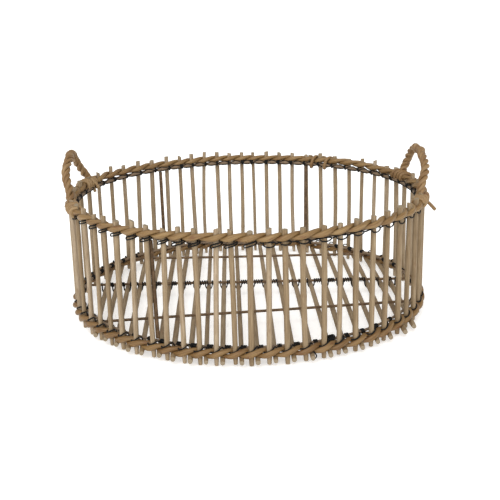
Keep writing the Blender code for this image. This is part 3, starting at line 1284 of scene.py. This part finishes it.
@dataclass
class BindingWire:
    """The thin black wire that ties the rods to the wire frame.

    Attributes:
        layout: The shared sizes.
        wall: The upright rods.
        base: The base rods.
        seed: Seed of the wire's unevenness.
        turn_pitch: Distance between the turns of a coil.
        steps_per_turn: Steps along one turn of a coil.
        run_radius: Half the thickness of the two wires that run along the top ring.
        run_steps: Points of those wires from one rod to the next.
        bend_step: Distance between the points of a bent wire.
        loose_places: Rods with a loose bow in front; the others have a tight hook.
        knot_angle: Where the thick knot at the foot is.
        knot_loops: Loops in that knot.
        loop_steps: Steps along one of them.
    """

    layout: Layout
    wall: RodWall
    base: SlattedBase
    seed: int = 23
    turn_pitch: float = 2.1 * MM
    steps_per_turn: int = 10
    run_radius: float = 0.7 * MM
    run_steps: int = 8
    bend_step: float = 1.5 * MM
    loose_places: range = range(1, 14)
    knot_angle: float = math.radians(24.6)
    knot_loops: int = 10
    loop_steps: int = 18

    @property
    def face(self) -> float:
        """How far in front of the rods' middle line the wire lies on them."""
        return self.layout.rod_radius + 1.1 * MM

    def beside(self, place: float, step: float, out: float, height: float) -> Vector:
        """Returns a point a distance to the right of a rod, out from the rods' middle line."""
        angle = self.wall.angle_at_height(place, height) + step / self.layout.ring_radius
        return polar(self.layout.ring_radius + out, angle, height)

    def bent(self, *points: tuple[float, float, float, float]) -> list[Vector]:
        """Returns a bent wire through points given as beside() takes them."""
        return smooth_line([self.beside(*point) for point in points], self.bend_step)

    def coil(self, middle: Callable[[float], Vector], outward: Callable[[float], Vector],
             turns: float, radius: float, start: float = 0.0) -> list[Vector]:
        """Winds a coil round a wire.

        Args:
            middle: The wire's middle, for a share of the coil's length.
            outward: A direction square to the wire, for the same share.
            turns: Number of turns.
            radius: Radius of the coil.
            start: Angle at which it starts.

        Returns:
            The coil's points.
        """
        steps = round(turns * self.steps_per_turn)
        points = []
        for step in range(steps + 1):
            share = step / steps
            turn = start + 2 * math.pi * turns * share
            points.append(middle(share) + outward(share) * (radius * math.cos(turn))
                          + Vector((0, 0, radius * math.sin(turn))))
        return points

    def ring_coil(self, centre: float, height: float, turns: float,
                  radius: float) -> list[Vector]:
        """Winds a short coil round one of the frame's rings.

        Args:
            centre: The coil's middle, as an angle round the basket.
            height: The ring's height.
            turns: Number of turns.
            radius: Radius of the coil.

        Returns:
            The coil's points.
        """
        width = turns * self.turn_pitch / self.layout.ring_radius

        def middle(share: float) -> Vector:
            """Returns the ring's middle at a share of the coil's length."""
            return polar(self.layout.frame_radius, centre + width * (share - 0.5), height)

        def outward(share: float) -> Vector:
            """Returns the direction away from the basket's middle."""
            return Vector((*middle(share).xy, 0)).normalized()

        return self.coil(middle, outward, turns, radius)

    def build(self, material: bpy.types.Material) -> None:
        """Winds the wire round the rim, the foot and the middle cross wire.

        Args:
            material: The black wire's finish.
        """
        drawn = random.Random(self.seed)
        thread = self.layout.thread_radius
        hooks = [Strand(line, thread) for line in self.rim_hooks(drawn)]
        self.finish("binding_wire_rim_hooks", hooks, material)
        runs = [Strand(line, self.run_radius, closed=True) for line in self.top_ring_runs()]
        coils = [Strand(line, thread) for line in self.top_ring_coils(drawn)]
        self.finish("binding_wire_top_ring", runs + coils, material)
        ties = [Strand(line, thread) for line in self.foot_ties(drawn) + self.knot(drawn)]
        self.finish("binding_wire_foot", ties, material)
        loops = [Strand(line, thread) for line in self.middle_ties(drawn)]
        self.finish("binding_wire_middle", loops, material)

    def finish(self, name: str, strands: list[Strand], material: bpy.types.Material) -> None:
        """Sweeps lengths of the wire as one piece."""
        dress(sweep(name, strands, resolution=1), Slot.FRAME_WIRE, material)

    def rim_hooks(self, drawn: random.Random) -> list[list[Vector]]:
        """Bends the loops in front of the rods, under the rim rope.

        Args:
            drawn: Source of their unevenness.

        Returns:
            Each wire's points.
        """
        lines = []
        for place in range(ROD_COUNT):
            low = self.layout.rim_height + drawn.uniform(-0.8, 0.8) * MM
            if place in self.loose_places:
                lines += self.loose_bow(place, low, drawn)
            else:
                lines.append(self.tight_hook(place, low, drawn))
        return lines

    def loose_bow(self, place: int, low: float, drawn: random.Random) -> list[list[Vector]]:
        """Bends a wide rounded bow and the run that leads to the next one.

        Args:
            place: The rod's number.
            low: Height from which it hangs.
            drawn: Source of its unevenness.

        Returns:
            The points of the bow and of the run.
        """
        droop, reach = drawn.uniform(9.5, 12.0) * MM, drawn.uniform(7.0, 8.8) * MM
        face, following = self.face, place + 1
        bow = self.bent(
            (place, -reach * 1.6, -1 * MM, low - 4.0 * MM),
            (place, -reach, face - 1 * MM, low - 6.0 * MM),
            (place, -reach * 0.8, face, low - droop * 0.85),
            (place, 0, face + 0.8 * MM, low - droop),
            (place, reach * 0.8, face, low - droop * 0.85),
            (place, reach, face - 1 * MM, low - 6.0 * MM),
            (place, reach * 0.2, face, low - 4.6 * MM),
            (place, -reach * 1.2, face - 2 * MM, low - 5.4 * MM))
        run = self.bent(
            (place, reach * 0.6, face - 1 * MM, low - 4.4 * MM),
            (place, reach * 1.3, 2 * MM, low - 7.4 * MM),
            (following, -reach * 1.3, 2 * MM, low - 6.8 * MM),
            (following, -reach * 0.6, face - 1 * MM, low - 5.0 * MM))
        return [bow, run]

    def tight_hook(self, place: int, low: float, drawn: random.Random) -> list[Vector]:
        """Bends two slanting prongs, joined at their lower left end.

        Args:
            place: The rod's number.
            low: Height from which they hang.
            drawn: Source of their unevenness.

        Returns:
            The wire's points.
        """
        reach, apart = drawn.uniform(5.0, 6.5) * MM, drawn.uniform(2.4, 3.4) * MM
        face = self.face
        return self.bent(
            (place, reach * 1.5, -3 * MM, low - 3.6 * MM),
            (place, reach, face - 1 * MM, low - 4.6 * MM),
            (place, 0, face, low - 6.4 * MM),
            (place, -reach, face, low - 8.2 * MM),
            (place, -reach - 0.8 * MM, face, low - 8.8 * MM - apart / 2),
            (place, -reach, face, low - 8.6 * MM - apart),
            (place, 0, face, low - 6.9 * MM - apart),
            (place, reach, face - 1 * MM, low - 5.0 * MM - apart),
            (place, reach * 1.4, -2 * MM, low - 4.4 * MM - apart / 2))

    def top_ring_runs(self) -> list[list[Vector]]:
        """Leads two wires round the basket, one over and one under the top ring.

        Returns:
            Each wire's points.
        """
        ring = self.layout.top_ring_height
        inside = self.layout.frame_radius - self.layout.ring_radius
        away = self.layout.top_ring_wire + self.layout.thread_radius - 0.2 * MM
        lines = []
        for sign in (-1, 1):
            run = []
            for step in range(ROD_COUNT * self.run_steps):
                place = step / self.run_steps
                turn = math.pi * place
                # The wires cross on the ring's inner side, behind each rod.
                run.append(self.beside(place, 0, inside - away * abs(math.cos(turn)) * 0.9,
                                       ring + sign * away * math.sin(turn)))
            lines.append(run)
        return lines

    def top_ring_coils(self, drawn: random.Random) -> list[list[Vector]]:
        """Winds a short coil where the two wires cross.

        Args:
            drawn: Source of their unevenness.

        Returns:
            Each coil's points.
        """
        ring = self.layout.top_ring_height
        radius = self.layout.top_ring_wire + self.layout.thread_radius - 0.1 * MM
        lines = []
        for place in range(ROD_COUNT):
            turns = drawn.choice((1.5, 1.5, 2.5))
            aside = drawn.uniform(-2, 2) * MM / self.layout.frame_radius
            centre = self.wall.angle_at_height(place, ring) + aside
            lines.append(self.ring_coil(centre, ring, turns, radius))
        return lines

    def foot_ties(self, drawn: random.Random) -> list[list[Vector]]:
        """Bends the slanting runs over the rods at the foot, with a coil after each.

        Args:
            drawn: Source of their unevenness.

        Returns:
            Each wire's points.
        """
        lines = []
        ring, face = self.layout.bottom_ring_height, self.face
        radius = self.layout.wire_radius + self.layout.thread_radius - 0.2 * MM
        for place in range(ROD_COUNT):
            low = ring - 3.0 * MM + drawn.uniform(-0.6, 0.6) * MM
            lift = drawn.uniform(4.5, 6.5) * MM
            lines.append(self.bent(
                (place, -10.0 * MM, -3.0 * MM, low + 0.8 * MM),
                (place, -7.0 * MM, 2.5 * MM, low),
                (place, -3.0 * MM, face, low + 0.4 * MM),
                (place, 2.0 * MM, face, low + lift * 0.5),
                (place, 5.0 * MM, face - 2 * MM, low + lift * 0.9),
                (place, 7.5 * MM, -1.0 * MM, low + lift + 0.6 * MM),
                (place, 9.4 * MM, -1.5 * MM, low + lift * 0.6),
                (place, 10.2 * MM, -2.5 * MM, low - 1.0 * MM)))
            turns = drawn.choice((2.5, 3.0, 3.5))
            # The coil ends 6.5 mm before the next rod.
            before = (6.5 * MM + turns * self.turn_pitch / 2) / self.layout.ring_radius
            centre = self.wall.angle_at_height(place + 1, ring) - before
            lines.append(self.ring_coil(centre, ring, turns, radius))
        return lines

    def knot(self, drawn: random.Random) -> list[list[Vector]]:
        """Winds the thick knot where the foot's wire starts and ends, with two loose tails.

        Args:
            drawn: Source of its unevenness.

        Returns:
            Each wire's points.
        """
        ring = self.layout.bottom_ring_height
        lines = []
        for _ in range(self.knot_loops):
            size = drawn.uniform(3.4, 5.8) * MM
            tip = drawn.uniform(-0.8, 0.8)
            start = drawn.uniform(0, FULL_TURN)
            shift = drawn.uniform(-4.0, 4.0) * MM
            loop = []
            for step in range(self.loop_steps + 1):
                turn = start + 2 * math.pi * 1.4 * step / self.loop_steps
                aside = shift + size * tip * math.sin(turn)
                loop.append(polar(self.layout.frame_radius + size * math.cos(turn),
                                  self.knot_angle + aside / self.layout.ring_radius,
                                  ring + 0.8 * MM + size * 0.8 * math.sin(turn)))
            lines.append(loop)
        # One tail hangs from the knot, and one stands up inside the left of the wall.
        lines.append(self.bent((3, 9 * MM, 4 * MM, ring - 8 * MM),
                               (3, 11 * MM, 9 * MM, ring - 13 * MM),
                               (3, 5 * MM, 11 * MM, ring - 17 * MM)))
        lines.append(self.bent((-12, -10 * MM, -6 * MM, ring - 3 * MM),
                               (-12, -8 * MM, -7 * MM, ring + 4 * MM),
                               (-12, -4 * MM, -9 * MM, ring + 13 * MM)))
        return lines

    def middle_ties(self, drawn: random.Random) -> list[list[Vector]]:
        """Winds the turns round the middle cross wire and the loops under the base rods.

        Args:
            drawn: Source of their unevenness.

        Returns:
            Each wire's points.
        """
        lines = []
        wire = box_middle("frame_cross_wire_middle")
        radius = self.layout.wire_radius + self.layout.thread_radius
        top, low = wire.z + radius, wire.z - 2 * MM
        under = self.layout.rod_radius + 0.9 * MM
        for index in range(self.base.count):
            rod = self.base.point(index, wire.y)
            turns = drawn.choice((2.5, 3.5, 3.5))
            width = turns * self.turn_pitch * drawn.uniform(1.2, 1.7)

            def middle(share: float) -> Vector:
                """Returns the cross wire's middle beside the rod."""
                return Vector((rod.x + 5.5 * MM + width * share, wire.y, wire.z))

            lines.append(self.coil(middle, lambda share: Vector((0, 1, 0)), turns, radius,
                                   start=math.pi / 2))
            section = ((-5.5 * MM, top), (-5.2 * MM, low), (-under, rod.z), (0, rod.z - under),
                       (under, rod.z), (5.2 * MM, low), (5.5 * MM, top))
            for slip in (-1.2 * MM, 1.2 * MM):
                lines.append(smooth_line([Vector((rod.x + across, wire.y + slip, height))
                                          for across, height in section], 1.2 * MM))
        return lines


@dataclass
class CaneWraps:
    """Turns of cane round the rim rope, at the handles' feet and over two splices.

    Attributes:
        layout: The shared sizes.
        cane_radius: Half the thickness of the wound cane.
        end_radius: Half the thickness of its loose ends.
        onward: How far a front foot's winding runs on towards the front.
        foot_turns: Turns at a handle's foot.
        foot_pitch: Distance between them.
        splice_turns: Turns over a splice.
        splice_pitch: Distance between them.
        bend_step: Distance between the points of the cane's line.
        seed: Seed of the cane's unevenness.
        foot_section: Places round the rim rope that a turn passes, out and up, in millimetres.
        splice_section: The same over a splice, where the turn also takes in the top ring.
    """

    layout: Layout
    cane_radius: float = 2.8 * MM
    end_radius: float = 2.5 * MM
    onward: float = 10.0 * MM
    foot_turns: float = 4.2
    foot_pitch: float = 9.5 * MM
    splice_turns: float = 1.3
    splice_pitch: float = 12.0 * MM
    bend_step: float = 2.0 * MM
    seed: int = 31
    foot_section: tuple[tuple[float, float], ...] = (
        (8.2, 0.0), (6.2, 4.8), (0.0, 6.4), (-6.2, 4.8), (-8.4, 0.0), (-6.6, -5.0),
        (0.0, -6.6), (6.4, -4.8))
    splice_section: tuple[tuple[float, float], ...] = (
        (8.0, -2.0), (5.6, 3.4), (-1.0, 5.0), (-7.2, 3.0), (-9.8, -2.6), (-10.4, -8.8),
        (-6.0, -12.6), (4.0, -8.8))

    def turns(self, section: Sequence[tuple[float, float]], angle: float, turns: float,
              pitch: float, drawn: random.Random) -> list[Vector]:
        """Winds a coil of cane round the rim rope.

        Args:
            section: Places that one turn passes.
            angle: The middle of the coil, round the basket.
            turns: Number of turns.
            pitch: Distance between turns, in metres.
            drawn: Source of its unevenness.

        Returns:
            The coil's points.
        """
        points = []
        for step in range(round(turns * len(section)) + 1):
            out, up = section[step % len(section)]
            slip = (step / len(section) - turns / 2) * pitch / self.layout.ring_radius
            fray = drawn.uniform(-0.4, 0.4)
            points.append(polar(self.layout.ring_radius + (out + fray) * MM, angle + slip,
                                self.layout.rim_height + (up + fray) * MM))
        return smooth_line(points, self.bend_step)

    def loose_ends(self, node: str) -> list[list[Vector]]:
        """Places the cut ends that stick out of a foot's winding.

        Args:
            node: The winding's CAD node.

        Returns:
            Each end's points.
        """
        # Across, to the back, and up from the rim rope, in millimetres.
        ends = {
            "handle_lashing_right_front": (
                ((250.0, -66, -1), (261.0, -69, -6.5), (271.6, -71, -17.5)),),
            "handle_lashing_left_back": (
                ((-253.0, 86, 9), (-245.5, 78, 4), (-239.5, 71, -13)),
                ((-254.0, 90, 7), (-244.0, 80, 5), (-233.0, 70, -7)))}
        return [smooth_line([Vector((x * MM, y * MM, self.layout.rim_height + up * MM))
                             for x, y, up in end], self.bend_step)
                for end in ends.get(node, ())]

    def build(self, material: bpy.types.Material) -> None:
        """Winds the cane at each lashing and splice node.

        Args:
            material: The wound cane's finish.
        """
        drawn = random.Random(self.seed)
        wraps = [(f"handle_lashing_{side}_{end}", self.foot_section, self.foot_turns,
                  self.foot_pitch) for side in ("left", "right") for end in ("front", "back")]
        wraps += [(f"rim_splice_wrap_{number}", self.splice_section, self.splice_turns,
                   self.splice_pitch) for number in (1, 2)]
        for node, section, turns, pitch in wraps:
            middle = box_middle(node)
            angle = math.atan2(middle.x, -middle.y)
            if node.endswith("_front"):
                angle -= math.copysign(self.onward / self.layout.ring_radius, middle.x)
            winding = self.turns(section, angle, turns, pitch, drawn)
            strands = [Strand(winding, self.cane_radius, tint=drawn.uniform(0.2, 0.9))]
            strands += [Strand(end, self.end_radius, tint=drawn.uniform(0.2, 0.9))
                        for end in self.loose_ends(node)]
            dress(sweep(f"cane_{node}", strands, resolution=2), Slot.WOUND_CANE, material, node)


@dataclass(frozen=True)
class ArchShape:
    """How one handle's arch runs.

    Attributes:
        profile: Distance to the back and height above the rim rope, in millimetres.
        leaning: How much of the back leg's outward lean is left at the crest, counted from 1.
        inward: How far the front leg leans in.
    """

    profile: tuple[tuple[float, float], ...]
    leaning: float
    inward: float


ARCHES = {
    Side.LEFT: ArchShape(
        profile=((-79, -2), (-76, 6), (-64, 19), (-57, 31), (-45, 43.5), (-28, 53), (-10, 58.5),
                 (19, 57.5), (46, 51.5), (65, 41.5), (77, 28), (88, 12), (88, -2)),
        leaning=1.35, inward=3.5 * MM),
    Side.RIGHT: ArchShape(
        profile=((-78, -2), (-75, 6), (-69, 19), (-53, 37.5), (-34, 48.5), (-13, 52.5), (6, 54),
                 (33, 53), (61, 48.5), (79, 41), (90, 26), (93, 11), (88, -2)),
        leaning=1.0, inward=6.0 * MM)}


@dataclass
class TwistedHandle:
    """An arch of three canes twisted together, with its feet on the rim rope.

    Attributes:
        layout: The shared sizes.
        side: Which of the two handles it is.
        cane_radius: Half the thickness of one cane.
        helix_radius: Distance from a cane's middle to the arch's middle line.
        twist_pitch: Length of one whole twist.
        unevenness: How far a cane strays from its helix.
        stray_length: Length over which it strays, divided by a whole turn of the sine.
        twist_waves: Waves of the uneven twist: radians, and length divided in the same way.
        reach: Distance of the crest from the basket's middle, across.
        crest: Height above the rim rope at which the arch counts as fully up, in millimetres.
        outward_lean: How far out the back leg leans.
        canes: Number of canes.
        step: Distance between the points of the arch's line.
    """

    layout: Layout
    side: Side
    cane_radius: float = 3.15 * MM
    helix_radius: float = 3.35 * MM
    twist_pitch: float = 31.0 * MM
    unevenness: float = 0.9 * MM
    stray_length: float = 11.0 * MM
    twist_waves: tuple[tuple[float, float], ...] = ((0.5, 23.0 * MM), (0.3, 9.0 * MM))
    reach: float = 0.262
    crest: float = 56.0
    outward_lean: float = 20.0 * MM
    canes: int = 3
    step: float = 1.6 * MM

    def arch(self) -> list[Vector]:
        """Draws the middle line of the arch, from its front foot to its back foot.

        Returns:
            The line's points.
        """
        shape = ARCHES[self.side]
        points = []
        for y, up in shape.profile:
            foot = math.sqrt(self.layout.ring_radius ** 2 - (y * MM) ** 2)
            share = kept_within(up / self.crest, 0.0, 1.0)
            x = blend_between(foot, self.reach, share ** 0.8)
            x += self.outward_lean * max(0.0, y / 90) * share * (shape.leaning - share)
            if y < 0:
                x -= shape.inward * min(1.0, share * 6) * (1.15 - share)
            points.append(Vector((self.side.value * x, y * MM, self.layout.rim_height + up * MM)))
        return smooth_line(points, self.step)

    def build(self, material: bpy.types.Material) -> None:
        """Twists the canes along the arch.

        Args:
            material: The wound cane's finish.
        """
        line = self.arch()
        label = self.side.name.lower()
        drawn = random.Random(self.side.value + 50)
        strands = []
        for cane in range(self.canes):
            points = []
            along = 0.0
            for index, point in enumerate(line):
                if index:
                    along += (point - line[index - 1]).length
                ahead = line[min(index + 1, len(line) - 1)] - line[max(index - 1, 0)]
                across = Vector((self.side.value, 0, 0)).cross(ahead).normalized()
                outward = ahead.cross(across).normalized()
                # The twist is tighter in some places than in others.
                turn = 2 * math.pi * (cane / self.canes + along / self.twist_pitch)
                turn += sum(height * math.sin(along / length + cane * number)
                            for number, (height, length) in enumerate(self.twist_waves))
                stray = math.sin(along / self.stray_length + 2.1 * cane)
                away = self.helix_radius + self.unevenness * stray
                points.append(point + across * (away * math.cos(turn))
                              + outward * (away * math.sin(turn)))
            swell = [1 + 0.1 * math.sin(index * 0.35 + 2 * cane) for index in range(len(points))]
            strands.append(Strand(points, self.cane_radius, tint=drawn.uniform(0.2, 0.9),
                                  swell=swell))
        piece = sweep(f"twisted_handle_{label}", strands, resolution=2)
        dress(piece, Slot.WOUND_CANE, material, f"handle_{label}")


@dataclass
class Studio:
    """Camera, pale floor and soft light.

    Attributes:
        distance: Distance from the camera to the basket's middle.
        elevation: How steeply the camera looks down.
        aim_height: Height that it aims at.
        roll: How far it is tilted sideways, in radians.
        pan: How far it looks to the right of its aim, as a slope.
        tilt: How far it looks above its aim, as a slope.
        focal: Focal length in millimetres.
        sensor: Sensor width in millimetres.
        room_light: Strength of the light from all round.
        paper_glow: How much the floor shines by itself.
        floor_size: Width of the floor.
        floor_gap: How far the floor lies under the basket.
        lamps: Name, direction in which it shines, angular width in degrees and strength.
    """

    distance: float = 1.432
    elevation: float = math.radians(16.05)
    aim_height: float = 0.0935
    roll: float = -0.0209
    pan: float = 0.0025
    tilt: float = -0.0100
    focal: float = 67.28
    sensor: float = 36.0
    room_light: float = 0.62
    paper_glow: float = 0.4
    floor_size: float = 90.0
    floor_gap: float = 0.5 * MM
    lamps: tuple[tuple[str, tuple[float, float, float], float, float], ...] = (
        ("key_lamp", (0.45, 1.0, -1.15), 60.0, 1.7), ("fill_lamp", (-0.5, 1.0, -0.55), 80.0, 0.8))

    def build_camera(self) -> None:
        """Places the camera."""
        aim = Vector((0, 0, self.aim_height))
        place = aim + Vector((0, -self.distance * math.cos(self.elevation),
                              self.distance * math.sin(self.elevation)))
        forward = (aim - place).normalized()
        right = Vector((1, 0, 0))
        up = right.cross(forward)
        forward = (forward + self.pan * right + self.tilt * up).normalized()
        right = forward.cross(up).normalized()
        up = right.cross(forward)
        turned_right = math.cos(self.roll) * right + math.sin(self.roll) * up
        turned_up = math.cos(self.roll) * up - math.sin(self.roll) * right
        camera = bpy.data.objects.new("camera", bpy.data.cameras.new("camera"))
        bpy.context.scene.collection.objects.link(camera)
        camera.data.lens = self.focal
        camera.data.sensor_width = self.sensor
        turn = Matrix((turned_right, turned_up, -forward)).transposed().to_4x4()
        camera.matrix_world = Matrix.Translation(place) @ turn
        bpy.context.scene.camera = camera

    def build_floor(self) -> None:
        """Lays a plain pale floor."""
        deselect_all()
        bpy.ops.mesh.primitive_plane_add(size=self.floor_size, location=(0, 0, -self.floor_gap))
        floor = bpy.context.object
        floor.name = "floor"
        material, _, shader = new_material("pale_paper")
        shader.inputs["Base Color"].default_value = paint("F4F4F2")
        shader.inputs["Roughness"].default_value = 0.95
        shader.inputs["Specular IOR Level"].default_value = 0.1
        shader.inputs["Emission Color"].default_value = (1.0, 1.0, 1.0, 1.0)
        shader.inputs["Emission Strength"].default_value = self.paper_glow
        floor.data.materials.append(material)

    def build_light(self) -> None:
        """Hangs two wide soft lamps over a near-white room."""
        bpy.context.scene.view_settings.view_transform = "Standard"
        world = bpy.data.worlds.new("room")
        bpy.context.scene.world = world
        world.use_nodes = True
        background = world.node_tree.nodes["Background"]
        background.inputs["Color"].default_value = (1.0, 1.0, 1.0, 1.0)
        background.inputs["Strength"].default_value = self.room_light
        for name, toward, spread, strength in self.lamps:
            lamp = bpy.data.lights.new(name, "SUN")
            lamp.angle = math.radians(spread)
            lamp.energy = strength
            holder = bpy.data.objects.new(name, lamp)
            bpy.context.scene.collection.objects.link(holder)
            holder.rotation_euler = Vector(toward).to_track_quat("-Z", "Y").to_euler()


def main() -> None:
    """Builds the studio, then the basket piece by piece."""
    logging.basicConfig(level=logging.INFO, format="%(message)s")
    studio = Studio()
    studio.build_camera()
    studio.build_floor()
    studio.build_light()
    layout = Layout()
    peeled, twined, wound = PEELED_ROD.build(), TWINED_CANE.build(), WOUND_CANE.build()
    painted, black = FRAME_WIRE.build(), BLACK_WIRE.build()
    wall = RodWall(layout)
    wall.build(peeled)
    base = SlattedBase(layout, wall)
    base.build(peeled)
    TwinedRope(layout, wall, Level.RIM, seed=3).build(twined)
    TwinedRope(layout, wall, Level.FOOT, seed=4, rise=3.3 * MM, thickness=7.5 * MM).build(twined)
    WireFrame(layout).build(painted)
    BindingWire(layout, wall, base).build(black)
    CaneWraps(layout).build(wound)
    for side in Side:
        TwistedHandle(layout, side).build(wound)


if __name__ == "__main__":
    main()
